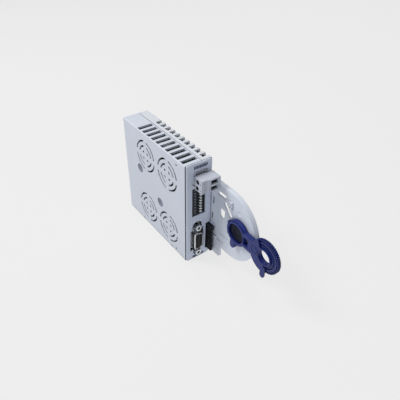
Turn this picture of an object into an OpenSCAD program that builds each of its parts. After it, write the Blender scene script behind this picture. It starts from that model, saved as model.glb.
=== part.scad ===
// Slide-in communication module of a servo drive, with its terminal plug,
// side plate with half-round grip tongue, locking lever and knurled thumbwheel.
// Millimetres. +Z is up, the front faces -Y, +X is to the right seen from the front.
// The origin is the centre of the housing's underside.

/* [Housing] */
// Width of the housing, left face to right face
body_w = 23; // [20:0.5:30]
// Depth of the housing, front panel to rear wall
body_d = 88; // [70:1:120]
// Height of the housing
body_h = 89; // [80:1:110]
// Wall thickness of the two shells
wall = 1.6; // [1.2:0.1:2.4]
// Distance from the left face to the joint between the shells
seam_x = 14.4; // [10:0.1:18]
// Thickness of the front panel
panel_t = 3; // [2:0.1:4]
// Thickness of the panel's rim in front of the shells
cap_t = 0.85; // [0.6:0.05:1.5]
// Width of the groove between the rim and the shells
groove_w = 0.4; // [0.2:0.05:0.8]
// Radius of the long outer edges
edge_r = 0.9; // [0.4:0.1:2]
// Radius of the lower right edge
keel_r = 3.6; // [1:0.1:5]

/* [Vents] */
// Number of slots in each top row
vent_count = 10; // [4:1:14]
// Centre distance of the slots
vent_pitch = 6.5; // [5:0.1:9]
// Width of a slot
vent_w = 3.8; // [2:0.1:4]
// First slot's centre behind the front face
vent_y0 = 6.4; // [5:0.1:10]
// Radii of the three rings in a round grille
grille_r = [4.1, 8.4, 12.6];
// Width of the arc slots
grille_w = 1.5; // [1:0.1:2.5]
// Width of the spokes between the arcs
spoke_w = 4; // [2:0.1:6]

/* [Terminal plug] */
// Centre distance of the two poles
pole_pitch = 5.08; // [3.5:0.01:7.62]
// Outer size of the plug's front block along X
plug_w = 15.3; // [10:0.1:18]
// Outer size of the plug's front block along Z
plug_h = 10.6; // [9:0.1:12]

/* [DIP switch] */
// Number of switches
dip_count = 9; // [4:1:9]
// Centre distance of the switches
dip_pitch = 2.54; // [2:0.01:3]
// Travel of a slider
dip_travel = 1.9; // [1:0.1:2.5]

/* [Fieldbus connector] */
// Distance between the two hex jackscrews
jack_pitch = 24.99; // [20:0.01:40]
// Radius of the jackscrew's threaded hole
jack_hole_r = 1.42; // [1:0.01:2]
// How far the connector's shell stands out of the panel
dsub_out = 2.8; // [1:0.1:6]

/* [Side plate] */
// Thickness of the plate's web
web_t = 1.4; // [1:0.1:3]
// Height of the rim behind the tongue
rim_h = 2.4; // [0:0.1:5]
// Radius of the half-round end
tongue_r = 28.9; // [20:0.1:35]

/* [Lever] */
// Radius of the round end at the pivot
pivot_end_r = 10.2; // [8:0.1:12]
// Radius of the pivot's shank
pivot_r = 3.5; // [2:0.1:4.5]
// Distance from the pivot to the thumbwheel's axis
lever_len = 28.8; // [20:0.1:40]
// Radius of the open eye in the middle of the thumbwheel
eye_r = 5.7; // [3:0.1:5.8]
// Outer radius of the thumbwheel over its teeth
wheel_r = 13; // [11:0.1:14]
// Number of teeth on the thumbwheel
wheel_teeth = 52; // [20:1:60]

/* [Hidden] */
$fn = 64;
eps = 0.01;
gap = 0.1;
slot_skin = 0.9;
long_slot_end = 13.3;
base_slot_end = 10.2;
short_slot_start = 17.3;
notch_depth = 6;
grille_y = [24.4, 55.3];
grille_z = [19.1, 69.4];
dimple_at = [[65.4, 53.2], [36.1, 36.5]];
dimple_r = 4;
dimple_depth = 2;
dimple_ball = (dimple_r * dimple_r + dimple_depth * dimple_depth) / (2 * dimple_depth);
post_r = 3.4;
pole_z = [75 - pole_pitch / 2, 75 + pole_pitch / 2];
pole_x = 14.5;
screw_at = [[-4.95, 71.9], [-5.2, 77.3]];
lug_x = 7.1;
lug_z = 73.1;
plug_x0 = 6.2;
plug_y0 = -11.4;
plug_y1 = -2.6;
dip_x = 11.25;
dip_z = 55.4;
dip_face = 0.6;
dip_body_w = 9.9;
dip_body_h = dip_count * dip_pitch + 1.8;
dip_rest_x = 13.3;
dsub_x = 10.3;
dsub_z = 19;
flange_y = 3.05;
plate_x = 23.05;
tongue_y = -21.3;
tongue_z = 42.3;
plate_bottom = 2.5;
plate_front = -13;
plate_rear = 30;
pivot_y = -34;
pivot_z = 44.9;
cap_inset = 0.6;
lever_x0 = 18.6;
lever_x1 = 22.3;
web_half = 5.8;
recess_r = 7.7;
sleeve_r = eye_r + 0.9;
board_x = 13;
board_t = 1.6;
plate_screw_at = [[11, 8.5], [25, 8.5], [11, 62], [25, 62]];
board_screw_at = [[16, 8], [75, 8], [75, 79]];
board_rear = 79.6;
chip_at = [[16, 24, 10], [16, 42, 6], [50, 40, 8], [66, 18, 10], [62, 64, 12]];

// Moves the panel corner frame (x from the left face, y from the front face) to the row's origin.
module from_corner() {
    translate([-body_w / 2, -body_d / 2, 0])
        children();
}

module box(x0, x1, y0, y1, z0, z1) {
    translate([x0, y0, z0])
        cube([x1 - x0, y1 - y0, z1 - z0]);
}

module rod_x(x0, x1, y, z, r) {
    translate([x0, y, z])
        rotate([0, 90, 0])
            cylinder(h = x1 - x0, r = r);
}

module rod_y(y0, y1, x, z, r) {
    translate([x, y1, z])
        rotate([90, 0, 0])
            cylinder(h = y1 - y0, r = r);
}

// Extrudes a drawing of the Y-Z plane along X.
module side_slab(x0, x1) {
    translate([x0, 0, 0])
        rotate([90, 0, 90])
            linear_extrude(x1 - x0)
                children();
}

// Extrudes a drawing of the X-Z plane along Y.
module front_slab(y0, y1) {
    translate([0, y1, 0])
        rotate([90, 0, 0])
            linear_extrude(y1 - y0)
                children();
}

module corner_waste(x, z, r, sx, sz) {
    difference() {
        translate([x - (sx < 0 ? r : eps), z - (sz < 0 ? r : eps)])
            square(r + eps);
        translate([x + sx * r, z + sz * r])
            circle(r);
    }
}

// Outline of the housing seen from the front, set in at both sides.
module body_outline(inset = 0) {
    x1 = body_w - inset;
    difference() {
        translate([inset, 0])
            square([x1 - inset, body_h]);
        corner_waste(inset, 0, edge_r, 1, 1);
        corner_waste(inset, body_h, edge_r, 1, -1);
        corner_waste(x1, body_h, edge_r, -1, -1);
        corner_waste(x1, 0, keel_r, -1, 1);
    }
}

module arc_slot(r, depth) {
    half = asin(spoke_w / 2 / r);
    rotate([0, 0, half])
        rotate_extrude(angle = 90 - 2 * half)
            translate([r - grille_w / 2, 0])
                square([grille_w, depth]);
}

module grille(y, z) {
    translate([-1, y, z])
        rotate([0, 90, 0])
            for (r = grille_r, k = [0:3])
                rotate([0, 0, 90 * k])
                    arc_slot(r, wall + 2);
}

module shell_block(x0, x1) {
    intersection() {
        front_slab(cap_t + groove_w, body_d)
            body_outline();
        box(x0, x1, 0, body_d + 1, -1, body_h + 1);
    }
}

module shell_hollow(x0, x1) {
    box(x0, x1, -1, body_d - wall, wall, body_h - wall);
}

module rear_window() {
    box(6.8, 16.2, body_d - wall - 1, body_d + 1, 24.6, 62.4);
}

module left_shell() {
    color([0.78, 0.81, 0.86])
        from_corner()
            difference() {
                union() {
                    difference() {
                        shell_block(-1, seam_x - gap);
                        shell_hollow(wall, seam_x + 1);
                    }
                    for (p = dimple_at) {
                        rod_x(wall - 0.5, 3.8, p[0], p[1], dimple_r + 2);
                        rod_x(wall - 0.5, seam_x - 0.6, p[0], p[1], post_r);
                    }
                }
                for (i = [0:vent_count - 1]) {
                    y = vent_y0 + i * vent_pitch;
                    box(slot_skin, long_slot_end, y - vent_w / 2, y + vent_w / 2,
                        body_h - wall - 0.4, body_h + 1);
                    box(slot_skin + 1.4, base_slot_end, y - vent_w / 2, y + vent_w / 2,
                        -1, wall + 0.4);
                }
                for (y = grille_y, z = grille_z)
                    grille(y, z);
                for (p = dimple_at) {
                    translate([dimple_depth - dimple_ball, p[0], p[1]])
                        sphere(r = dimple_ball);
                    rod_x(5.2, seam_x, p[0], p[1], 1.25);
                }
                rod_x(-1, wall + 1, 11.8, 84.6, 0.9);
                rod_x(-1, wall + 1, 13.7, 3.6, 0.9);
                for (y = [21, 65])
                    box(-1, 0.8, y - 1.3, y + 1.3, 0.5, 1.7);
                rear_window();
            }
}

module right_shell() {
    color([0.80, 0.83, 0.87])
        from_corner()
            difference() {
                union() {
                    difference() {
                        shell_block(seam_x + gap, body_w + 1);
                        shell_hollow(seam_x - 1, body_w - wall);
                    }
                    box(body_w - wall - 2.4, body_w - wall + 0.4, panel_t + 4, body_d - 4,
                        wall - 0.4, 3.2);
                    for (p = dimple_at)
                        rod_x(seam_x + 0.6, body_w - 0.5, p[0], p[1], post_r + 1.2);
                    for (p = board_screw_at)
                        rod_x(board_x + board_t + 0.05, body_w - 0.5, p[0], p[1], 2.6);
                }
                for (i = [0:vent_count - 1]) {
                    y = vent_y0 + i * vent_pitch;
                    box(short_slot_start, body_w + 1, y - vent_w / 2, y + vent_w / 2,
                        body_h - wall - 0.4, body_h + 1);
                    box(body_w - wall - 0.4, body_w + 1, y - vent_w / 2, y + vent_w / 2,
                        body_h - notch_depth, body_h + 1);
                }
                for (p = dimple_at) {
                    rod_x(seam_x, body_w, p[0], p[1], 1.6);
                    rod_x(17.6, body_w + 1, p[0], p[1], 3);
                }
                for (p = board_screw_at)
                    rod_x(seam_x, 20.5, p[0], p[1], 1.05);
                for (p = plate_screw_at)
                    rod_x(body_w - wall - 1, body_w + 1, p[0], p[1], 1.3);
                rear_window();
            }
}

module dsub_cutout() {
    translate([dsub_x - 6.2, dsub_z - 10.2])
        square([12.4, 20.4]);
    translate([dsub_x, dsub_z + jack_pitch / 2 + 0.6])
        circle(4.6);
    translate([dsub_x - 4.6, dsub_z])
        square([9.2, jack_pitch / 2 + 0.6]);
    translate([dsub_x, dsub_z - jack_pitch / 2 - 0.25])
        circle(3.25);
    translate([dsub_x - 3.25, dsub_z - jack_pitch / 2 - 0.25])
        square([6.5, jack_pitch / 2]);
}

module front_panel() {
    lip = wall + 0.15;
    color([0.70, 0.74, 0.81])
        from_corner()
            difference() {
                union() {
                    front_slab(0, cap_t)
                        body_outline(cap_inset);
                    box(lip, body_w - lip, cap_t - 0.2, panel_t, lip, body_h - lip);
                    difference() {
                        box(lip, body_w - lip, panel_t - 0.5, panel_t + 1.3, lip, body_h - lip);
                        box(lip + 1.1, body_w - lip - 1.1, -1, panel_t + 4,
                            lip + 1.1, body_h - lip - 1.1);
                    }
                }
                box(7.4, 18.4, -1, panel_t + 1, 69.7, 81.9);
                rod_y(-1, panel_t + 1, 7.9, lug_z, 2.4);
                box(5.6, 17.4, -1, panel_t + 1, 42.7, 68.2);
                front_slab(-1, panel_t + 4)
                    dsub_cutout();
                box(18.4, body_w + 1, -1, panel_t + 4, 4.9, 31.2);
            }
}

module shell_screws() {
    color([0.62, 0.63, 0.65])
        from_corner()
            for (p = dimple_at) {
                rod_x(6.2, 17.7, p[0], p[1], 1.15);
                difference() {
                    rod_x(17.65, 19.6, p[0], p[1], 2.7);
                    box(18.9, 20, p[0] - 2, p[0] + 2, p[1] - 0.35, p[1] + 0.35);
                    box(18.9, 20, p[0] - 0.35, p[0] + 0.35, p[1] - 2, p[1] + 2);
                }
            }
}

module terminal_header() {
    color([0.66, 0.69, 0.73])
        from_corner()
            difference() {
                union() {
                    box(7.9, 18, 0.3, 9, 70.2, 81.1);
                    rod_y(0.5, 9, lug_x, lug_z, 1.55);
                }
                box(8.7, 17.2, -1, 7.6, 70.85, 80.2);
                for (z = pole_z)
                    rod_y(7, 10, pole_x, z, 0.55);
            }
}

module header_pins() {
    color([0.80, 0.76, 0.62])
        from_corner()
            for (z = pole_z)
                rod_y(0.6, 12, pole_x, z, 0.5);
}

module plug_body() {
    color([0.72, 0.75, 0.79])
        from_corner()
            difference() {
                union() {
                    box(plug_x0, plug_x0 + plug_w, plug_y0, plug_y1,
                        75 - plug_h / 2, 75 + plug_h / 2);
                    box(9.1, 16.8, plug_y1 - 0.5, 5.8, 71.2, 79);
                }
                translate([0, 0, 60])
                    linear_extrude(30)
                        polygon([[5, plug_y0 - 1], [11.5, plug_y0 - 1], [11.5, plug_y0],
                            [10.6, plug_y0 + 1], [5, plug_y0 + 1]]);
                for (z = pole_z) {
                    box(13.4, 19.2, plug_y0 - 1, -8, z - 1.6, z + 1.6);
                    box(12.6, 20, -8.7, -3.4, z - 1.95, z + 1.95);
                    rod_y(-3.6, 6, pole_x, z, 0.88);
                }
                for (p = screw_at) {
                    rod_x(plug_x0 - 1, 12.8, p[0], p[1], 1.9);
                    rod_x(plug_x0 - 1, plug_x0 + 0.8, -8.65, p[1] - 0.3, 0.5);
                }
                box(8.5, 8.9, plug_y0, plug_y0 + 1.5, 77.2, 78.6);
                translate([8.7, plug_y0 + 1, 72.8])
                    rotate([0, 45, 0])
                        cube([0.4, 1, 1.6], center = true);
            }
}

module plug_clamp_cages() {
    color([0.72, 0.70, 0.62])
        from_corner()
            for (i = [0, 1])
                difference() {
                    box(12.7, 19.9, -8.6, -3.5, pole_z[i] - 1.85, pole_z[i] + 1.85);
                    box(13.5, 19.1, -10, -3.9, pole_z[i] - 1.55, pole_z[i] + 1.55);
                    rod_x(12, 14, screw_at[i][0], screw_at[i][1], 1.05);
                }
}

module plug_clamp_screws() {
    color([0.74, 0.74, 0.72])
        from_corner()
            for (p = screw_at)
                difference() {
                    union() {
                        rod_x(9, 10.4, p[0], p[1], 1.7);
                        rod_x(10.3, 14.6, p[0], p[1], 0.95);
                    }
                    box(8, 9.7, p[0] - 2, p[0] + 2, p[1] - 0.28, p[1] + 0.28);
                }
}

module plug_contacts() {
    color([0.80, 0.74, 0.55])
        from_corner()
            for (z = pole_z)
                difference() {
                    rod_y(-3.3, 5.2, pole_x, z, 0.8);
                    rod_y(-3, 6, pole_x, z, 0.56);
                }
}

module dip_body() {
    color([0.05, 0.055, 0.065])
        from_corner()
            difference() {
                box(dip_x - dip_body_w / 2, dip_x + dip_body_w / 2, dip_face, 6.4,
                    dip_z - dip_body_h / 2, dip_z + dip_body_h / 2);
                for (i = [0:dip_count - 1]) {
                    z = dip_z + (i - (dip_count - 1) / 2) * dip_pitch;
                    box(dip_rest_x - dip_travel - 0.95, dip_rest_x + 0.95, -1, 2.4,
                        z - 0.78, z + 0.78);
                }
            }
}

module dip_slider(i) {
    z = dip_z + (i - 1 - (dip_count - 1) / 2) * dip_pitch;
    color([0.93, 0.94, 0.92])
        from_corner()
            difference() {
                box(dip_rest_x - 0.75, dip_rest_x + 0.75, -0.2, 2.2, z - 0.58, z + 0.58);
                box(dip_rest_x - 0.15, dip_rest_x + 0.15, -1, 0, z - 1, z + 1);
            }
}

// Corner points of the connector's tapered outline, rounded by short chords.
function taper_arc(cx, cz, r, a0, a1) =
    [for (k = [0:4]) [cx + r * cos(a0 + (a1 - a0) * k / 4), cz + r * sin(a0 + (a1 - a0) * k / 4)]];

module taper_outline(half_x, half_z, r) {
    short_z = half_z - 2 * half_x * tan(10);
    translate([dsub_x, dsub_z])
        polygon(concat(
            taper_arc(half_x - r, short_z - r, r, 0, 80),
            taper_arc(-half_x + r, half_z - r, r, 80, 180),
            taper_arc(-half_x + r, -half_z + r, r, 180, 280),
            taper_arc(half_x - r, -short_z + r, r, 280, 360)));
}

module dsub_body() {
    color([0.07, 0.07, 0.08])
        from_corner()
            difference() {
                union() {
                    box(4.2, 16.4, flange_y, flange_y + 1, dsub_z - 15.4, dsub_z + 15.4);
                    box(5.6, 15, flange_y + 0.9, 10.4, dsub_z - 9, dsub_z + 9);
                }
                for (s = [-1, 1])
                    rod_y(flange_y - 1, flange_y + 2, dsub_x, dsub_z + s * jack_pitch / 2, 1.6);
                for (r = [0, 1], k = [0:4 - r])
                    rod_y(flange_y - 1, 11, dsub_x - 1.42 + 2.84 * r,
                        dsub_z + (k - 2 + r / 2) * 2.77, 0.6);
            }
}

module dsub_shell() {
    color([0.78, 0.79, 0.80])
        from_corner()
            difference() {
                union() {
                    front_slab(-dsub_out, flange_y - 0.02)
                        taper_outline(3.62, 7.84, 2);
                    front_slab(-dsub_out + 0.4, flange_y - 0.02)
                        taper_outline(3.95, 8.17, 2.2);
                }
                front_slab(-dsub_out - 1, flange_y + 1)
                    taper_outline(3.3, 7.55, 1.7);
            }
}

module dsub_insert() {
    color([0.06, 0.06, 0.07])
        from_corner()
            difference() {
                front_slab(-dsub_out + 0.05, flange_y - 0.02)
                    taper_outline(3.24, 7.49, 1.65);
                for (r = [0, 1], k = [0:4 - r])
                    rod_y(-dsub_out - 1, 4, dsub_x - 1.42 + 2.84 * r,
                        dsub_z + (k - 2 + r / 2) * 2.77, 0.6);
            }
}

module dsub_contacts() {
    color([0.83, 0.70, 0.40])
        from_corner()
            for (r = [0, 1], k = [0:4 - r])
                difference() {
                    rod_y(-dsub_out + 0.8, 12, dsub_x - 1.42 + 2.84 * r,
                        dsub_z + (k - 2 + r / 2) * 2.77, 0.55);
                    rod_y(-dsub_out, 3, dsub_x - 1.42 + 2.84 * r,
                        dsub_z + (k - 2 + r / 2) * 2.77, 0.35);
                }
}

module dsub_jackscrews() {
    color([0.75, 0.76, 0.78])
        from_corner()
            for (s = [-1, 1])
                translate([dsub_x, flange_y - 0.05, dsub_z + s * jack_pitch / 2])
                    rotate([90, 0, 0])
                        difference() {
                            union() {
                                cylinder(h = 5.5, r = 2.75, $fn = 6);
                                translate([0, 0, -3.5])
                                    cylinder(h = 4, r = 1.45);
                            }
                            translate([0, 0, 1])
                                cylinder(h = 6, r = jack_hole_r);
                        }
}

module edge_connector() {
    color([0.06, 0.06, 0.07])
        from_corner()
            difference() {
                union() {
                    box(19.3, 21.4, -5.8, 9, 5.6, 30.6);
                    box(21, 22.8, -5.2, 1, 25.4, 30.6);
                    box(21, 22.2, -4.6, 1, 5.6, 9.6);
                }
                for (k = [0:7])
                    box(18, 20.1, -6.6, 1.6, 7 + k * 2.9, 8.6 + k * 2.9);
                for (k = [0:2])
                    box(20.6, 24, -7, -4.6, 11.5 + k * 5.8, 14.2 + k * 5.8);
            }
}

module edge_contacts() {
    color([0.55, 0.50, 0.40])
        from_corner()
            for (k = [0:7])
                box(19.75, 20.05, -4.8, 1.4, 7.3 + k * 2.9, 8.3 + k * 2.9);
}

module tongue_outline(inset) {
    top = tongue_z + tongue_r - inset;
    bottom = tongue_z - tongue_r + inset;
    translate([tongue_y, bottom])
        square([plate_rear - inset - tongue_y, top - bottom]);
    translate([tongue_y, tongue_z])
        circle(tongue_r - inset);
}

module plate_outline() {
    tongue_outline(0);
    translate([plate_front, plate_bottom + 2.6])
        square([plate_rear - plate_front, 30]);
    translate([plate_front + 2.6, plate_bottom])
        square([plate_rear - plate_front - 2.6, 30]);
    translate([plate_front + 2.6, plate_bottom + 2.6])
        circle(2.6);
}

module plate_windows() {
    translate([-16.6, 61.6])
        square([9, 3.8]);
    polygon([[-14.2, 57.4], [-17.2, 60.2], [-24.6, 51.6], [-21.6, 48.6]]);
    polygon([[-10.4, 50.4], [-11, 51.4], [-16.4, 51.4], [-16.4, 46.6], [-14.2, 41.8], [-10.9, 44]]);
    translate([-3.5, 50.2])
        square([1.3, 6.4]);
    translate([-2.6, 35.6])
        square([1.3, 5.6]);
    translate([pivot_y, pivot_z])
        circle(pivot_r + 0.02);
    for (p = plate_screw_at)
        translate(p)
            circle(1.5);
}

module side_plate() {
    color([0.74, 0.78, 0.84])
        from_corner()
            difference() {
                union() {
                    side_slab(plate_x, plate_x + web_t)
                        difference() {
                            plate_outline();
                            plate_windows();
                        }
                    side_slab(plate_x + web_t - 0.2, plate_x + web_t + rim_h)
                        difference() {
                            tongue_outline(0);
                            tongue_outline(1.3);
                        }
                    box(plate_x - 0.7, plate_x + 0.2, -24, -13, 26.4, 27.4);
                    box(plate_x - 0.7, plate_x + 0.2, -16, -5.6, 18.6, 19.6);
                    box(plate_x - 1.1, plate_x + 0.2, -8.6, -6.2, 19.4, 21.6);
                    box(plate_x - 1.3, plate_x + 0.2, -24.6, -21.2, 58.4, 64.4);
                    box(21.7, plate_x + 0.2, -5.8, -0.4, 30.95, 31.6);
                }
                for (z = [59.6, 61.9])
                    box(plate_x - 2, plate_x - 0.3, -25, -21, z, z + 0.9);
                translate([plate_x - 2.6, -31.6, 58.9])
                    sphere(r = 3.2);
            }
}

module plate_screws() {
    color([0.66, 0.67, 0.69])
        from_corner()
            for (p = plate_screw_at) {
                rod_x(19.2, plate_x + web_t + 0.2, p[0], p[1], 1.25);
                difference() {
                    rod_x(plate_x + web_t + 0.02, plate_x + web_t + 1.7, p[0], p[1], 2.5);
                    box(plate_x + web_t + 1, plate_x + web_t + 3, p[0] - 1.8, p[0] + 1.8,
                        p[1] - 0.3, p[1] + 0.3);
                    box(plate_x + web_t + 1, plate_x + web_t + 3, p[0] - 0.3, p[0] + 0.3,
                        p[1] - 1.8, p[1] + 1.8);
                }
            }
}

module pivot_bolt() {
    color([0.10, 0.11, 0.15])
        from_corner()
            difference() {
                union() {
                    rod_x(20.3, 21.1, pivot_y, pivot_z, recess_r - 0.35);
                    rod_x(21, 26.2, pivot_y, pivot_z, pivot_r);
                }
                rod_x(19, 20.6, pivot_y, pivot_z, 3.2);
            }
}

module pivot_nut() {
    color([0.60, 0.61, 0.63])
        from_corner()
            difference() {
                rod_x(plate_x + web_t + 0.02, plate_x + web_t + 1.5, pivot_y, pivot_z, 5.6);
                rod_x(plate_x, plate_x + 4, pivot_y, pivot_z, pivot_r + 0.02);
            }
}

// Side view of the lever, measured from its pivot.
module lever_outline() {
    circle(pivot_end_r);
    translate([-lever_len, -web_half])
        square([lever_len, 2 * web_half]);
    for (a = [26, -31])
        rotate(a)
            translate([pivot_end_r, 0])
                circle(0.9);
}

module lever_foot(y0, y1, z0, z1) {
    r = (y1 - y0) / 2;
    translate([y0, z0 + r])
        square([y1 - y0, z1 - z0 - r]);
    translate([y0 + r, z0 + r])
        circle(r);
}

module cheek_outline() {
    intersection() {
        translate([-lever_len, 0])
            circle(wheel_r + 0.2);
        polygon([[-lever_len - 2.6, -20], [-lever_len - 2.6, -12], [-lever_len + 6.4, 10.5],
            [-lever_len + 6.4, 20], [0, 20], [0, -20]]);
    }
}

module lever_arm() {
    color([0.23, 0.26, 0.52])
        from_corner()
            translate([0, pivot_y, pivot_z])
                difference() {
                    union() {
                        side_slab(lever_x0 + 0.8, lever_x1) {
                            lever_outline();
                            lever_foot(1.2, 5.6, -16, -5);
                        }
                        side_slab(lever_x0, lever_x0 + 1)
                            difference() {
                                union() {
                                    circle(pivot_end_r - 0.9);
                                    translate([-lever_len, -web_half])
                                        square([lever_len, 2 * web_half]);
                                }
                                circle(recess_r);
                            }
                        side_slab(lever_x0, lever_x0 + 1) {
                            cheek_outline();
                            lever_foot(-lever_len - 2.7, -lever_len + 1.5, -18, -8);
                        }
                        rod_x(lever_x0, lever_x1 + 0.45, -lever_len, 0, sleeve_r);
                        difference() {
                            rod_x(lever_x0 - 0.25, lever_x0 + 0.3, -19.6, 0, 3.1);
                            rod_x(lever_x0 - 1, lever_x0 - 0.02, -19.6, 0, 2.5);
                        }
                    }
                    rod_x(lever_x0 - 1, 21.15, 0, 0, recess_r);
                    rod_x(20, lever_x1 + 1, 0, 0, pivot_r + 0.05);
                    rod_x(lever_x0 - 1, lever_x1 + 1, -lever_len, 0, eye_r);
                    box(lever_x0 - 1, lever_x1 + 1, -13.2, -8.4, -3.5, 3.6);
                    difference() {
                        rod_x(lever_x0 + 1, lever_x1 + 2, -lever_len, 0, wheel_r + 0.5);
                        rod_x(lever_x0, lever_x1 + 3, -lever_len, 0, sleeve_r);
                    }
                }
}

function tooth_ring(n, r0, r1) =
    [for (i = [0:4 * n - 1]) let(a = 90 * i / n, r = (i % 4 < 2) ? r1 : r0) [r * cos(a), r * sin(a)]];

module thumb_wheel() {
    x0 = lever_x0 + 1.25;
    color([0.22, 0.25, 0.50])
        from_corner()
            translate([0, pivot_y - lever_len, pivot_z])
                difference() {
                    side_slab(x0, lever_x1)
                        polygon(tooth_ring(wheel_teeth, wheel_r - 0.55, wheel_r));
                    rod_x(x0 - 1, lever_x1 + 1, 0, 0, sleeve_r + 0.06);
                    difference() {
                        rod_x(x0 - 1, x0 + 0.9, 0, 0, 9.3);
                        rod_x(x0 - 2, x0 + 1.5, 0, 0, 8.5);
                    }
                    difference() {
                        rod_x(x0 - 1, x0 + 0.9, 0, 0, 12);
                        rod_x(x0 - 2, x0 + 1.5, 0, 0, 11.2);
                    }
                }
}

module wheel_clip() {
    color([0.55, 0.56, 0.58])
        from_corner()
            translate([0, pivot_y - lever_len, pivot_z])
                difference() {
                    rod_x(lever_x1 + 0.05, lever_x1 + 0.4, 0, 0, 7.4);
                    rod_x(lever_x1 - 1, lever_x1 + 1, 0, 0, sleeve_r + 0.02);
                }
}

module main_board() {
    color([0.12, 0.36, 0.22])
        from_corner()
            difference() {
                box(board_x, board_x + board_t, 12, board_rear, 3.4, body_h - 3.4);
                for (p = dimple_at)
                    rod_x(board_x - 1, board_x + 3, p[0], p[1], post_r + 1.4);
                for (p = board_screw_at)
                    rod_x(board_x - 1, board_x + 3, p[0], p[1], 1.2);
            }
}

module front_board() {
    color([0.12, 0.36, 0.22])
        from_corner()
            difference() {
                box(3.2, 18.8, 10.5, 11.8, 4, 84);
                for (z = pole_z)
                    rod_y(10, 13, pole_x, z, 0.7);
                for (r = [0, 1], k = [0:4 - r])
                    rod_y(10, 13, dsub_x - 1.42 + 2.84 * r,
                        dsub_z + (k - 2 + r / 2) * 2.77, 0.7);
            }
}

module board_screws() {
    color([0.70, 0.70, 0.68])
        from_corner()
            for (p = board_screw_at) {
                rod_x(board_x - 0.1, 19.5, p[0], p[1], 1);
                difference() {
                    rod_x(board_x - 1.6, board_x - 0.02, p[0], p[1], 2);
                    box(board_x - 2, board_x - 0.9, p[0] - 1.5, p[0] + 1.5, p[1] - 0.3, p[1] + 0.3);
                }
            }
}

module controller_chip() {
    color([0.09, 0.09, 0.10])
        from_corner()
            difference() {
                box(board_x - 1.5, board_x - 0.02, 46, 60, 19, 33);
                rod_x(board_x - 2, board_x - 1.3, 48, 21, 0.7);
            }
}

module bus_chips() {
    color([0.10, 0.10, 0.11])
        from_corner()
            for (p = chip_at)
                box(board_x - 1.6, board_x - 0.02, p[0], p[0] + p[2], p[1], p[1] + 6);
}

module passive_parts() {
    color([0.62, 0.52, 0.38])
        from_corner()
            for (i = [0:5], j = [0:2])
                box(board_x - 0.9, board_x - 0.02, 20 + i * 5, 21.6 + i * 5, 8 + j * 3, 8.9 + j * 3);
}

module converter_module() {
    color([0.08, 0.08, 0.09])
        from_corner()
            box(3.6, board_x - 0.02, 18, 32, 64, 84);
}

module filter_capacitors() {
    color([0.45, 0.47, 0.52])
        from_corner()
            for (p = [[42, 78], [52, 78], [42, 66]])
                difference() {
                    rod_x(4, board_x - 0.02, p[0], p[1], 4);
                    box(3, 4.4, p[0] - 3, p[0] + 3, p[1] - 0.15, p[1] + 0.15);
                    box(3, 4.4, p[0] - 0.15, p[0] + 0.15, p[1] - 3, p[1] + 3);
                }
}

module coupling_transformer() {
    color([0.14, 0.14, 0.16])
        from_corner()
            difference() {
                box(7, board_x - 0.02, 24, 37, 50, 61);
                box(6, 8, 28, 33, 49, 62);
            }
}

module rear_connector() {
    color([0.16, 0.17, 0.19])
        from_corner()
            difference() {
                union() {
                    box(7.1, 15.9, body_d - 9, body_d + 0.4, 25, 62);
                    box(6.2, 16.8, body_d - 9, body_d - wall - 0.1, 24, 63);
                }
                for (c = [0, 1], k = [0:12])
                    rod_y(body_d - 8, body_d + 1, 10.23 + 2.54 * c, 43.5 + (k - 6) * 2.54, 0.55);
                box(5, board_x + board_t + 0.1, body_d - 10, body_d - 8.2, 23, 64);
            }
}

module rear_contacts() {
    color([0.83, 0.72, 0.42])
        from_corner()
            for (c = [0, 1], k = [0:12])
                difference() {
                    rod_y(body_d - 7.9, body_d - 0.6, 10.23 + 2.54 * c,
                        43.5 + (k - 6) * 2.54, 0.5);
                    rod_y(body_d - 6, body_d, 10.23 + 2.54 * c, 43.5 + (k - 6) * 2.54, 0.33);
                }
}

left_shell();
right_shell();
front_panel();
shell_screws();
terminal_header();
header_pins();
plug_body();
plug_clamp_cages();
plug_clamp_screws();
plug_contacts();
dip_body();
dip_slider(1);  // dip_slider_1
dip_slider(2);  // dip_slider_2
dip_slider(3);  // dip_slider_3
dip_slider(4);  // dip_slider_4
dip_slider(5);  // dip_slider_5
dip_slider(6);  // dip_slider_6
dip_slider(7);  // dip_slider_7
dip_slider(8);  // dip_slider_8
dip_slider(9);  // dip_slider_9
dsub_body();
dsub_shell();
dsub_insert();
dsub_contacts();
dsub_jackscrews();
edge_connector();
edge_contacts();
side_plate();
plate_screws();
pivot_bolt();
pivot_nut();
lever_arm();
thumb_wheel();
wheel_clip();
main_board();
front_board();
board_screws();
controller_chip();
bus_chips();
passive_parts();
converter_module();
filter_capacitors();
coupling_transformer();
rear_connector();
rear_contacts();
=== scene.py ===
"""Slide-in communication module of a servo drive.

Materials, printed marks, small metal parts, floor, light and camera round the CAD frame.
The scene is in metres. Named sizes are in millimetres and are multiplied by MM where they are used.
"""

import math

import bmesh
import bpy
from mathutils import Matrix, Vector


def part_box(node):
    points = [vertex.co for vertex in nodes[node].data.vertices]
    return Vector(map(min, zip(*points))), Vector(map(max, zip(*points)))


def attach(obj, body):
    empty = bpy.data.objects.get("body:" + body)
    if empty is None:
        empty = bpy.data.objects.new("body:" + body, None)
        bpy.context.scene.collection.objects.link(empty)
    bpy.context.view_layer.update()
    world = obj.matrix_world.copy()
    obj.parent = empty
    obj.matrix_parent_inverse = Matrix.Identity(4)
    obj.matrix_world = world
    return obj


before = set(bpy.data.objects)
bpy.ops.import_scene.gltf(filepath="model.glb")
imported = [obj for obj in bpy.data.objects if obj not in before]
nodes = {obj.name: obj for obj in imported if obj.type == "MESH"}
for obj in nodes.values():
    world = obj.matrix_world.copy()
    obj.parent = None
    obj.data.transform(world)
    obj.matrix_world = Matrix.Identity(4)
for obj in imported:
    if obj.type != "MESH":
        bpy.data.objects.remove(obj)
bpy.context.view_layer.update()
MM = 0.001


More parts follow.
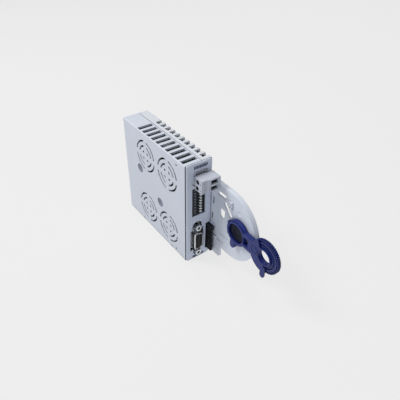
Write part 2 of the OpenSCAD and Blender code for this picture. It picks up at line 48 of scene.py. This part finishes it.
# ---------------------------------------------------------------- places, from the CAD frame
def box_mm(name):
    """The lowest and the highest corner of a CAD node."""
    low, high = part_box(name)
    return Vector(low) / MM, Vector(high) / MM


left_low, left_high = box_mm("left_shell")
right_low, right_high = box_mm("right_shell")
plug_low, plug_high = box_mm("plug_body")
dip_low = box_mm("dip_body")[0]
chip_low, chip_high = box_mm("controller_chip")
LEFT_FACE = left_low.x
RIGHT_FACE = right_high.x
FRONT_FACE = box_mm("front_panel")[0].y
REAR_FACE = left_high.y
HEIGHT = left_high.z
SEAM_X = (left_high.x + right_low.x) / 2
BOARD_FACE = box_mm("main_board")[0].x


def from_corner(x, y, z):
    """A point measured from the housing's left face, front face and underside."""
    return Vector((x + LEFT_FACE, y + FRONT_FACE, z))


# ---------------------------------------------------------------- shader trees
class Tree:
    """A material's node tree; the methods return (node, output) pairs that feed each other."""

    def __init__(self, name):
        self.mat = bpy.data.materials.new(name)
        self.mat.use_nodes = True
        self.nt = self.mat.node_tree
        self.nt.nodes.clear()
        self.out = self.add("ShaderNodeOutputMaterial")
        self.bsdf = self.add("ShaderNodeBsdfPrincipled")
        self.link(self.bsdf, "BSDF", self.out, "Surface")
        self.coords = self.add("ShaderNodeTexCoord")

    def add(self, kind, **props):
        node = self.nt.nodes.new(kind)
        for key, value in props.items():
            setattr(node, key, value)
        return node

    def link(self, source, output, target, socket):
        self.nt.links.new(source.outputs[output], target.inputs[socket])

    def put(self, value, node, socket):
        """Links a (node, output) pair, or sets a plain value."""
        if isinstance(value, tuple) and isinstance(value[0], bpy.types.Node):
            self.link(*value, node, socket)
        else:
            node.inputs[socket].default_value = value

    def mapping(self, scale=(1, 1, 1), turn=(0, 0, 0)):
        node = self.add("ShaderNodeMapping")
        node.inputs["Scale"].default_value = scale
        node.inputs["Rotation"].default_value = turn
        self.link(self.coords, "Object", node, "Vector")
        return (node, "Vector")

    def noise(self, scale, detail=2.0, rough=0.5, distortion=0.0, vector=None):
        node = self.add("ShaderNodeTexNoise")
        node.inputs["Scale"].default_value = scale
        node.inputs["Detail"].default_value = detail
        node.inputs["Roughness"].default_value = rough
        node.inputs["Distortion"].default_value = distortion
        self.put(vector or (self.coords, "Object"), node, "Vector")
        return (node, "Fac")

    def remap(self, value, from_min, from_max, to_min, to_max):
        node = self.add("ShaderNodeMapRange")
        self.put(value, node, "Value")
        node.inputs["From Min"].default_value = from_min
        node.inputs["From Max"].default_value = from_max
        node.inputs["To Min"].default_value = to_min
        node.inputs["To Max"].default_value = to_max
        return (node, "Result")

    def math(self, operation, a, b, clamp=False):
        node = self.add("ShaderNodeMath", operation=operation, use_clamp=clamp)
        self.put(a, node, 0)
        self.put(b, node, 1)
        return (node, "Value")

    def mix(self, fac, a, b, mode="MIX"):
        """Mixes two colours, each a plain (r, g, b) or a (node, output) pair."""
        factor, first, second, result = 0, 6, 7, 2
        node = self.add("ShaderNodeMix", data_type="RGBA", blend_type=mode)
        self.put(fac, node, factor)
        for colour, socket in ((a, first), (b, second)):
            self.put(colour if isinstance(colour[0], bpy.types.Node) else (*colour, 1), node, socket)
        return (node, result)

    def edges(self, radius):
        """The rounded normal, and a value that is 1 along the piece's edges and 0 elsewhere."""
        bevel = self.add("ShaderNodeBevel", samples=4)
        self.put(radius, bevel, "Radius")
        flat = self.add("ShaderNodeNewGeometry")
        turned = self.add("ShaderNodeVectorMath", operation="DOT_PRODUCT")
        self.link(bevel, "Normal", turned, 0)
        self.link(flat, "Normal", turned, 1)
        return (bevel, "Normal"), self.remap((turned, "Value"), 0.995, 0.80, 0.0, 1.0)

    def within(self, low, high):
        """1 inside a box given in mm, 0 outside; None leaves a side open."""
        split = self.add("ShaderNodeSeparateXYZ")
        self.link(self.coords, "Object", split, "Vector")
        inside = 1.0
        for axis, *limits in zip("XYZ", low, high):
            for limit, test in zip(limits, ("GREATER_THAN", "LESS_THAN")):
                if limit is not None:
                    inside = self.math("MULTIPLY", self.math(test, (split, axis), limit * MM), inside)
        return inside

    def crevice(self, reach, floor):
        """Painted shade: falls from 1 in the open to floor in corners and narrow gaps."""
        node = self.add("ShaderNodeAmbientOcclusion", samples=6)
        node.inputs["Distance"].default_value = reach
        return self.remap((node, "AO"), 0.25, 0.95, floor, 1.0)

    def bump(self, height, strength, distance, normal=None):
        node = self.add("ShaderNodeBump")
        node.inputs["Strength"].default_value = strength
        node.inputs["Distance"].default_value = distance
        self.put(height, node, "Height")
        if normal:
            self.put(normal, node, "Normal")
        return (node, "Normal")


def srgb(*channels):
    """A linear colour from three display values of 0 to 255."""
    shares = (c / 255 for c in channels)
    return tuple(c / 12.92 if c <= 0.04045 else ((c + 0.055) / 1.055) ** 2.4 for c in shares)


def shade(colour, factor):
    return tuple(min(1.0, c * factor) for c in colour)


# ---------------------------------------------------------------- kinds of material
def plastic(name, base, rough=0.42, grain=2600, depth=0.016, tone=0.05, worn=0.35, worn_to=1.25,
            radius=0.28, spec=0.5, flow=0.0, dark_in=(), soft_in=None, reach=2.0, crevice=0.6):
    """Moulded plastic: spark-eroded grain, flow marks, handling gloss, worn edges, and painted shade that
    darkens its corners and narrow gaps.

    dark_in holds boxes (low, high, colour) that are painted over with painted shade; soft_in holds boxes
    (low, high) whose edges are rounder and carry a painted highlight, and last their edge radius.
    """
    t = Tree(name)
    cloud = t.remap(t.noise(38, 4, 0.55), 0.3, 0.7, 0.0, 1.0)
    fleck = t.remap(t.noise(grain * 0.5, 2, 0.6), 0.35, 0.75, 0.0, 0.16)
    colour = t.mix(cloud, shade(base, 1 - tone), shade(base, 1 + tone * 0.6))
    colour = t.mix(fleck, colour, shade(base, 0.82))
    if soft_in:
        *zones, soft_radius = soft_in
        soft = 0.0
        for low, high in zones:
            soft = t.math("MAXIMUM", soft, t.within(low, high))
        normal, edge = t.edges(t.remap(soft, 0.0, 1.0, radius * MM, soft_radius * MM))
        # Painted highlight: the edges inside the soft_in boxes get a lighter base colour.
        glint = t.math("MULTIPLY", soft, t.math("MULTIPLY", edge, 1.6, clamp=True))
        colour = t.mix(glint, colour, shade(base, 1.6))
    else:
        normal, edge = t.edges(radius * MM)
    scuff = t.remap(t.noise(420, 5, 0.65), 0.42, 0.62, 0.0, 1.0)
    rub = t.math("MULTIPLY", t.math("MULTIPLY", edge, scuff), worn)
    colour = t.mix(rub, colour, shade(base, worn_to))
    # Painted shade: the dark_in boxes are coloured over with their shade colours.
    for low, high, paint in dark_in:
        colour = t.mix(t.within(low, high), colour, paint)
    # Painted shade: the colour is darker in corners and narrow gaps.
    colour = t.mix(1.0, colour, t.crevice(reach * MM, crevice), mode="MULTIPLY")
    t.put(colour, t.bsdf, "Base Color")
    gloss = t.remap(t.noise(150, 3, 0.6), 0.3, 0.7, rough - 0.06, rough + 0.08)
    t.put(t.math("SUBTRACT", gloss, t.math("MULTIPLY", rub, 0.25)), t.bsdf, "Roughness")
    t.bsdf.inputs["Specular IOR Level"].default_value = spec
    texture = t.noise(grain, 3, 0.6)
    if flow:
        waves = t.noise(22, 3, 0.5, distortion=0.6, vector=t.mapping(scale=(1, 1, 3.5)))
        texture = t.math("ADD", t.math("MULTIPLY", waves, flow), texture)
    t.put(t.bump(texture, 0.55, depth * MM, normal), t.bsdf, "Normal")
    return t.mat


def metal(name, base, rough=0.28, brushed=(1, 1, 1), dull=None, radius=0.15, plated=0.35):
    """Plated metal: fine drawing lines, cloudy plating and a painted highlight along the edges."""
    t = Tree(name)
    cloud = t.remap(t.noise(520, 4, 0.6), 0.35, 0.72, 0.0, plated)
    colour = t.mix(cloud, base, dull or shade(base, 0.62))
    normal, edge = t.edges(radius * MM)
    # Painted highlight: the base colour is lighter along the edges.
    colour = t.mix(t.math("MULTIPLY", edge, 0.5), colour, shade(base, 1.2))
    t.put(colour, t.bsdf, "Base Color")
    t.bsdf.inputs["Metallic"].default_value = 1.0
    t.put(t.remap(t.noise(900, 3, 0.6), 0.3, 0.7, rough - 0.09, rough + 0.12), t.bsdf, "Roughness")
    lines = t.noise(900, vector=t.mapping(scale=brushed))
    t.put(t.bump(lines, 0.35, 0.008 * MM, normal), t.bsdf, "Normal")
    return t.mat


def board(name, mask, copper):
    """Solder mask over copper: the tracks show as slightly raised lighter lines."""
    t = Tree(name)
    quarter = math.radians(90)
    brick = t.add("ShaderNodeTexBrick", offset=0.5, squash=0.6, squash_frequency=3)
    brick.inputs["Scale"].default_value = 260
    brick.inputs["Mortar Size"].default_value = 0.045
    brick.inputs["Mortar Smooth"].default_value = 0.1
    t.put(t.mapping(turn=(quarter, quarter, 0)), brick, "Vector")
    broken = t.remap(t.noise(120, 1, 0.5), 0.48, 0.52, 0.0, 1.0)
    track = t.math("MULTIPLY", (brick, "Fac"), broken)
    cloud = t.remap(t.noise(60, 3), 0.3, 0.7, 0.0, 0.4)
    t.put(t.mix(cloud, t.mix(track, mask, copper), shade(mask, 0.7)), t.bsdf, "Base Color")
    t.put(t.remap(t.noise(300), 0.3, 0.7, 0.22, 0.36), t.bsdf, "Roughness")
    t.put(t.bump(track, 0.6, 0.03 * MM), t.bsdf, "Normal")
    return t.mat


def drawn_can(name, base):
    """Drawn aluminium with a dull cloud and fine turning marks."""
    t = Tree(name)
    cloud = t.noise(300, 3, 0.5)
    t.put(t.mix(t.remap(cloud, 0.3, 0.7, 0.0, 1.0), shade(base, 0.8), base), t.bsdf, "Base Color")
    t.bsdf.inputs["Metallic"].default_value = 0.9
    t.put(t.remap(cloud, 0.3, 0.7, 0.3, 0.45), t.bsdf, "Roughness")
    t.put(t.bump(t.noise(2500), 0.4, 0.01 * MM), t.bsdf, "Normal")
    return t.mat


# ---------------------------------------------------------------- colours
LEFT = srgb(197, 203, 215)
RIGHT = srgb(202, 206, 215)
PANEL = srgb(190, 197, 213)
PLATE = srgb(203, 209, 221)
TERMINAL = srgb(178, 183, 196)
HEADER = srgb(205, 208, 216)
BLUE = srgb(30, 42, 108)
INK = srgb(24, 32, 72)
PRINT = srgb(196, 202, 210)
# The next three colours are painted shade: near black inside openings and gaps, mid grey in the seam and
# behind the front rim, grey in the sunk dimples.
SHADOW = srgb(15, 16, 20)
GAP_SHADE = srgb(96, 101, 114)
DIMPLE_SHADE = srgb(128, 135, 150)
SOLDER_MASK = srgb(16, 52, 38)
COVERED_COPPER = srgb(30, 78, 56)

# ---------------------------------------------------------------- stretches painted as shade where seen through openings, in gaps and in dimples, and edges with a painted highlight
WALL = 1.55
LEFT_SKIN = 2.1
SEAM_HALF = 0.2
RIM_DEPTH = 1.3
PANEL_SKIN = 0.95
HEADER_SKIN = 1.4
SOFT_SIDE = 2.6
SOFT_TOP = 1.6
DIMPLE_AT = ((65.4, 53.2), (36.1, 36.5))
DIMPLE_REACH = 3.9
DIMPLE_SKIN = 0.12
DIMPLE_FLOOR = 2.05
OPEN = (None, None, None)


def dimple_zone(y, z):
    """The sunk part of a round dimple in the left face, painted darker as shade."""
    low = from_corner(DIMPLE_SKIN, y - DIMPLE_REACH, z - DIMPLE_REACH)
    return (low, from_corner(DIMPLE_FLOOR, y + DIMPLE_REACH, z + DIMPLE_REACH), DIMPLE_SHADE)


# Painted shade: the insides of the shells, seen through the slots and grilles, are near black.
INSIDE = ((LEFT_FACE + LEFT_SKIN, None, WALL), (RIGHT_FACE - WALL, REAR_FACE - WALL, HEIGHT - WALL), SHADOW)
# Painted shade in the seam gap, behind the front rim, and deep in the openings of the panel, header and
# plug.
SEAM = ((SEAM_X - SEAM_HALF, None, None), (SEAM_X + SEAM_HALF, None, None), GAP_SHADE)
RIM_BACK_LEFT = (OPEN, (0.0, FRONT_FACE + RIM_DEPTH, None), GAP_SHADE)
RIM_BACK_RIGHT = ((0.0, None, None), (None, FRONT_FACE + RIM_DEPTH, None), SHADOW)
PANEL_BACK = ((None, FRONT_FACE + PANEL_SKIN, None), OPEN, SHADOW)
HEADER_INSIDE = ((None, FRONT_FACE + HEADER_SKIN, None), OPEN, SHADOW)
PLUG_INSIDE = ((plug_low.x + 0.5, plug_low.y + 1.5, plug_low.z + 0.4),
               (plug_high.x - 1.0, FRONT_FACE - 3.0, plug_high.z - 0.5), SHADOW)
# Edges of the panel that get rounder normals and a painted highlight.
OUTER_EDGE = (OPEN, (LEFT_FACE + SOFT_SIDE, None, None))
TOP_EDGE = ((None, None, HEIGHT - SOFT_TOP), OPEN)

# ---------------------------------------------------------------- materials
HOUSING_FINISH = {"rough": 0.48, "tone": 0.03, "flow": 0.5, "reach": 4.0, "crevice": 0.45}
TERMINAL_FINISH = {"rough": 0.5, "grain": 3400, "depth": 0.012, "tone": 0.04}
BLACK_FINISH = {"grain": 3600, "tone": 0.2, "worn_to": 2.2}
LEVER_FINISH = {"spec": 0.28, "grain": 2800, "depth": 0.012}
FINE_FINISH = {"grain": 5200, "depth": 0.01}
PRINT_FINISH = {"grain": 5200, "depth": 0.003, "radius": 0.02}

MATERIALS = {
    "left": plastic("shell_left", LEFT, **HOUSING_FINISH,
                    dark_in=(INSIDE, SEAM, RIM_BACK_LEFT, *(dimple_zone(*at) for at in DIMPLE_AT))),
    "right": plastic("shell_right", RIGHT, **HOUSING_FINISH, dark_in=(INSIDE, SEAM, RIM_BACK_RIGHT)),
    "panel": plastic("front_panel", PANEL, 0.46, tone=0.03, dark_in=(PANEL_BACK,), radius=0.5,
                     soft_in=(OUTER_EDGE, TOP_EDGE, 1.5)),
    "plate": plastic("side_plate", PLATE, 0.40, grain=3200, depth=0.01, tone=0.03, flow=0.8, crevice=0.8),
    "terminal": plastic("terminal_grey", TERMINAL, **TERMINAL_FINISH, dark_in=(PLUG_INSIDE,)),
    "header": plastic("header_grey", HEADER, **TERMINAL_FINISH, dark_in=(HEADER_INSIDE,)),
    "black": plastic("connector_black", srgb(34, 36, 44), 0.5, spec=0.25, depth=0.012, worn=0.5,
                     radius=0.15, **BLACK_FINISH),
    "insert": plastic("insert_black", srgb(15, 15, 19), 0.42, spec=0.22, depth=0.008, worn=0.4,
                      radius=0.12, **BLACK_FINISH),
    "dip": plastic("dip_black", srgb(30, 32, 40), 0.55, spec=0.4, grain=3600, depth=0.01, tone=0.2,
                   worn=0.5, worn_to=2.0, radius=0.12),
    "white": plastic("slider_white", srgb(238, 240, 236), 0.38, grain=4000, depth=0.006, tone=0.03,
                     radius=0.15),
    "blue": plastic("lever_blue", BLUE, 0.38, tone=0.10, worn=0.45, worn_to=1.7, radius=0.3, flow=0.4,
                    **LEVER_FINISH),
    "wheel": plastic("wheel_blue", shade(BLUE, 0.92), 0.40, tone=0.12, worn=0.6, worn_to=1.8,
                     radius=0.22, **LEVER_FINISH),
    "pivot": plastic("pivot_dark", srgb(10, 14, 34), 0.5, spec=0.15, grain=2800, depth=0.012, tone=0.2,
                     worn=0.3, worn_to=1.8),
    "chip": plastic("chip_black", srgb(28, 28, 31), 0.45, tone=0.2, radius=0.1, **FINE_FINISH),
    "ceramic": plastic("ceramic", srgb(176, 152, 120), 0.5, tone=0.15, radius=0.05, **FINE_FINISH),
    "ink": plastic("ink_blue", INK, 0.55, tone=0.15, spec=0.3, **PRINT_FINISH),
    "print": plastic("print_white", PRINT, 0.5, tone=0.06, **PRINT_FINISH),
    "board": board("board_green", SOLDER_MASK, COVERED_COPPER),
    "can": drawn_can("can", srgb(196, 200, 208)),
    "steel": metal("steel_zinc", srgb(190, 193, 198), 0.3, brushed=(1, 8, 8)),
    "nickel": metal("nickel", srgb(228, 229, 231), 0.27, dull=srgb(200, 202, 206), brushed=(1, 1, 12),
                    plated=0.4, radius=0.5),
    "flange": metal("flange_tin", srgb(206, 208, 212), 0.36, dull=srgb(172, 175, 180), brushed=(1, 1, 9),
                    plated=0.5, radius=0.2),
    "cage": metal("cage_tin", srgb(96, 96, 96), 0.5, plated=0.5),
    "gold": metal("gold_flash", srgb(222, 186, 110), 0.26, brushed=(8, 1, 8)),
    "tin": metal("tin", srgb(186, 184, 176), 0.34, brushed=(4, 1, 4)),
}

LOOK = {
    "left_shell": "left", "right_shell": "right", "front_panel": "panel", "shell_screws": "steel",
    "terminal_header": "header", "header_pins": "tin", "plug_body": "terminal",
    "plug_clamp_cages": "cage", "plug_clamp_screws": "steel", "plug_contacts": "tin",
    "dip_body": "dip", "dsub_body": "flange", "dsub_shell": "nickel", "dsub_insert": "insert",
    "dsub_contacts": "gold", "dsub_jackscrews": "nickel", "edge_connector": "black",
    "edge_contacts": "cage", "side_plate": "plate", "plate_screws": "steel", "pivot_bolt": "pivot",
    "pivot_nut": "steel", "lever_arm": "blue", "thumb_wheel": "wheel", "wheel_clip": "steel",
    "main_board": "board", "front_board": "board", "board_screws": "steel",
    "controller_chip": "chip", "bus_chips": "chip", "passive_parts": "ceramic",
    "converter_module": "chip", "filter_capacitors": "can", "coupling_transformer": "chip",
    "rear_connector": "black", "rear_contacts": "gold",
}
sliders = [name for name in nodes if name.startswith("dip_slider")]
for name, obj in nodes.items():
    obj.data.materials.clear()
    obj.data.materials.append(MATERIALS["white" if name in sliders else LOOK[name]])


# ---------------------------------------------------------------- detail pieces on the housing
INK_DEPTH = 0.03
INK_SUNK = 0.01
# Areas of the panel: left, right, lower and upper limit.
TITLE_AREA = (7.0, 18.8, 84.2, 86.9)
TITLE_BARS = [(0.75, 0, 1), (0.75, 0.15, 1)] * 5
FOOT_AREA = (6.3, 16.8, 0.5, 3.0)
FOOT_BARS = [(0.82, 0, 1)] * 8
DIGIT_SIZE = 1.9
DIGIT_DEPTH = 0.02
DIGIT_FROM_SIDE = 2.1
# Near black blocks that fill the plate's two slots as painted shade.
SHADE_BLOCK_X = (23.3, 24.2)
# Areas of a side view: front, rear, lower and upper limit.
SHADE_BLOCK_AREAS = ((-3.45, -2.25, 50.25, 56.55), (-2.55, -1.35, 35.65, 41.15))
BUS_CHIP_AREAS = ((16, 26, 24, 30), (16, 22, 42, 48), (50, 58, 40, 46), (66, 76, 18, 24), (62, 74, 64, 70))
BUS_LEG_PITCH = 1.27
BUS_LEG_HALF = 0.22
BUS_LEGS_LEAST = 4
CONTROLLER_LEG_HALF = 0.2
CONTROLLER_LEGS_PER_SIDE = 16
# Parts of a bent leg: farthest and nearest to the board, then start and end beside the chip.
LEG_PARTS = ((0.76, 0.62, 0.0, 0.5), (0.18, 0.04, 0.4, 1.1), (0.76, 0.04, 0.4, 0.52))


def link(name, data):
    obj = bpy.data.objects.new(name, data)
    bpy.context.scene.collection.objects.link(obj)
    return obj


def piece(name, mesh, look, body):
    """A detail piece that rides on a body and shares the named material slot."""
    mesh.materials.append(MATERIALS[look])
    obj = link(name, mesh)
    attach(obj, body)


def blocks(name, boxes):
    """One mesh of many boxes, each given by its low and its high corner."""
    bm = bmesh.new()
    for low, high in boxes:
        a, b = Vector(low) * MM, Vector(high) * MM
        cube = bmesh.ops.create_cube(bm, size=1)["verts"]
        bmesh.ops.scale(bm, vec=b - a, verts=cube)
        bmesh.ops.translate(bm, vec=(a + b) / 2, verts=cube)
    mesh = bpy.data.meshes.new(name)
    bm.to_mesh(mesh)
    bm.free()
    return mesh


def bars(area, pattern):
    """Printed bars side by side in an area of the panel: each is (width, low end, high end) in shares."""
    x0, x1, z0, z1 = area
    step = (x1 - x0) / len(pattern)
    for i, (wide, low, high) in enumerate(pattern):
        x = x0 + i * step
        yield (from_corner(x, -INK_DEPTH, z0 + low * (z1 - z0)),
               from_corner(x + wide * step, INK_SUNK, z0 + high * (z1 - z0)))


def digit(number, slider):
    """The mesh of a raised digit beside its slider, standing on the face of the switch body."""
    text = bpy.data.curves.new("digit", "FONT")
    text.body = str(number)
    text.size = DIGIT_SIZE * MM
    text.extrude = DIGIT_DEPTH * MM
    text.align_x = text.align_y = "CENTER"
    shape = bpy.data.objects.new("digit_shape", text)
    mesh = bpy.data.meshes.new_from_object(shape)
    bpy.data.objects.remove(shape)
    low, high = box_mm(slider)
    spot = Vector((dip_low.x + DIGIT_FROM_SIDE, dip_low.y - DIGIT_DEPTH, (low.z + high.z) / 2))
    mesh.transform(Matrix.Translation(spot * MM) @ Matrix.Rotation(math.radians(90), 4, "X"))
    return mesh


def legs(area, side, count, half_width):
    """Bent legs along one side of a chip on the board."""
    y0, y1, z0, z1 = area
    along_y = side in ("top", "bottom")
    start, end = (y0, y1) if along_y else (z0, z1)
    edge = {"top": z1, "bottom": z0, "rear": y1, "front": y0}[side]
    outward = 1 if side in ("top", "rear") else -1
    for k in range(count):
        centre = start + (k + 0.5) * (end - start) / count
        across = (centre - half_width, centre + half_width)
        for far, near, root, tip in LEG_PARTS:
            reach = sorted((edge + outward * root, edge + outward * tip))
            (ya, yb), (za, zb) = (across, reach) if along_y else (reach, across)
            yield ((BOARD_FACE - far, ya, za), (BOARD_FACE - near, yb, zb))


def bus_chip_legs():
    for y0, y1, z0, z1 in BUS_CHIP_AREAS:
        area = (y0 + FRONT_FACE, y1 + FRONT_FACE, z0, z1)
        count = max(BUS_LEGS_LEAST, round((y1 - y0) / BUS_LEG_PITCH))
        for side in ("top", "bottom"):
            yield from legs(area, side, count, BUS_LEG_HALF)


def controller_legs():
    area = (chip_low.y, chip_high.y, chip_low.z, chip_high.z)
    for side in ("top", "bottom", "front", "rear"):
        yield from legs(area, side, CONTROLLER_LEGS_PER_SIDE, CONTROLLER_LEG_HALF)


def seals():
    for y0, y1, z0, z1 in SHADE_BLOCK_AREAS:
        yield (from_corner(SHADE_BLOCK_X[0], y0, z0), from_corner(SHADE_BLOCK_X[1], y1, z1))


title = blocks("panel_title_marks", bars(TITLE_AREA, TITLE_BARS))
foot = blocks("panel_foot_marks", bars(FOOT_AREA, FOOT_BARS))
piece("panel_title_marks", title, "ink", "module")
piece("panel_foot_marks", foot, "ink", "module")
for number in range(1, len(sliders) + 1):
    piece(f"switch_digit_{number}", digit(number, f"dip_slider_{number}"), "print", "module")
# Painted shade: dark blocks fill the plate's two slots.
piece("plate_slot_shade_blocks", blocks("plate_slot_shade_blocks", seals()), "insert", "module")
piece("controller_legs", blocks("controller_legs", controller_legs()), "tin", "module")
piece("bus_chip_legs", blocks("bus_chip_legs", bus_chip_legs()), "tin", "module")


# ---------------------------------------------------------------- camera
CAMERA_AT = Vector((-150.19, -247.26, 251.35))
AZIMUTH, ELEVATION, ROLL = map(math.radians, (-36.64, 37.62, 1.12))
LENS = 39.5
SENSOR = 36
CLIP = (0.01, 20)


def make_camera():
    back = Vector((math.sin(AZIMUTH) * math.cos(ELEVATION), -math.cos(AZIMUTH) * math.cos(ELEVATION),
                   math.sin(ELEVATION)))
    right = (-back).cross(Vector((0, 0, 1))).normalized()
    up = right.cross(-back)
    rolled_right = right * math.cos(ROLL) + up * math.sin(ROLL)
    rolled_up = up * math.cos(ROLL) - right * math.sin(ROLL)
    cam = link("camera", bpy.data.cameras.new("camera"))
    cam.data.lens = LENS
    cam.data.sensor_width = SENSOR
    cam.data.clip_start, cam.data.clip_end = CLIP
    place = Matrix((rolled_right, rolled_up, back)).transposed().to_4x4()
    place.translation = CAMERA_AT * MM
    cam.matrix_world = place
    bpy.context.scene.camera = cam


# ---------------------------------------------------------------- floor and backdrop, in metres
FLOOR_HALF = 6.0
FLOOR_DROP = 0.0002
WALL_RADIUS = 0.98 * FLOOR_HALF
WALL_SIDES = 48


def glowing_paint(name, grey, rough, spec, glow):
    t = Tree(name)
    t.bsdf.inputs["Base Color"].default_value = (grey, grey, grey, 1)
    t.bsdf.inputs["Roughness"].default_value = rough
    t.bsdf.inputs["Specular IOR Level"].default_value = spec
    t.bsdf.inputs["Emission Color"].default_value = (1, 1, 1, 1)
    t.bsdf.inputs["Emission Strength"].default_value = glow
    return t.mat


def make_floor():
    h = FLOOR_HALF
    mesh = bpy.data.meshes.new("floor")
    mesh.from_pydata([(-h, -h, 0), (h, -h, 0), (h, h, 0), (-h, h, 0)], [], [(0, 1, 2, 3)])
    mesh.materials.append(glowing_paint("floor_paint", 0.10, 0.9, 0.1, 0.735))
    floor = link("floor", mesh)
    floor.location.z = -FLOOR_DROP


def make_backdrop():
    """A pale wall far behind everything, seen by the camera only, so that it adds no light."""
    n = WALL_SIDES
    corners = []
    for z in (0, FLOOR_HALF):
        for k in range(n):
            a = 2 * math.pi * k / n
            corners.append((WALL_RADIUS * math.cos(a), WALL_RADIUS * math.sin(a), z))
    faces = [(k, (k + 1) % n, n + (k + 1) % n, n + k) for k in range(n)]
    mesh = bpy.data.meshes.new("backdrop")
    mesh.from_pydata(corners, [], faces)
    mesh.materials.append(glowing_paint("backdrop_paint", 0.0, 0.5, 0.0, 0.745))
    wall = link("backdrop", mesh)
    for ray in ("diffuse", "glossy", "transmission", "volume_scatter", "shadow"):
        setattr(wall, "visible_" + ray, False)


# ---------------------------------------------------------------- light, in metres and watts
AIM = Vector((0, -0.02, 0.045))
AMBIENT = 0.0448
LIGHTS = {
    "key": ((-0.61, 0.46, 1.0), (0.4, 0.4), 10.0, (1.0, 0.985, 0.965)),
    "fill": ((-0.78, -0.95, 0.5), (0.8, 0.6), 4.9, (0.86, 0.92, 1.0)),
    "top": ((0.05, 0.0, 1.25), (0.7, 0.7), 7.4, (1.0, 0.99, 0.965)),
    "rim": ((0.9, 0.5, 0.6), (0.6, 0.6), 2.0, (0.95, 0.97, 1.0)),
}


def make_light(name, at, size, watts, colour):
    light = bpy.data.lights.new(name, "AREA")
    light.shape = "RECTANGLE"
    light.size, light.size_y = size
    light.energy = watts
    light.color = colour
    lamp = link(name, light)
    lamp.location = at
    lamp.rotation_euler = (AIM - Vector(at)).to_track_quat("-Z", "Y").to_euler()


def make_world():
    world = bpy.data.worlds.new("studio")
    bpy.context.scene.world = world
    world.use_nodes = True
    sky = world.node_tree.nodes["Background"]
    sky.inputs["Color"].default_value = (AMBIENT, AMBIENT, AMBIENT, 1)
    view = bpy.context.scene.view_settings
    view.view_transform = "Standard"
    view.look = "None"


make_camera()
make_floor()
make_backdrop()
for name, facts in LIGHTS.items():
    make_light(name, *facts)
make_world()
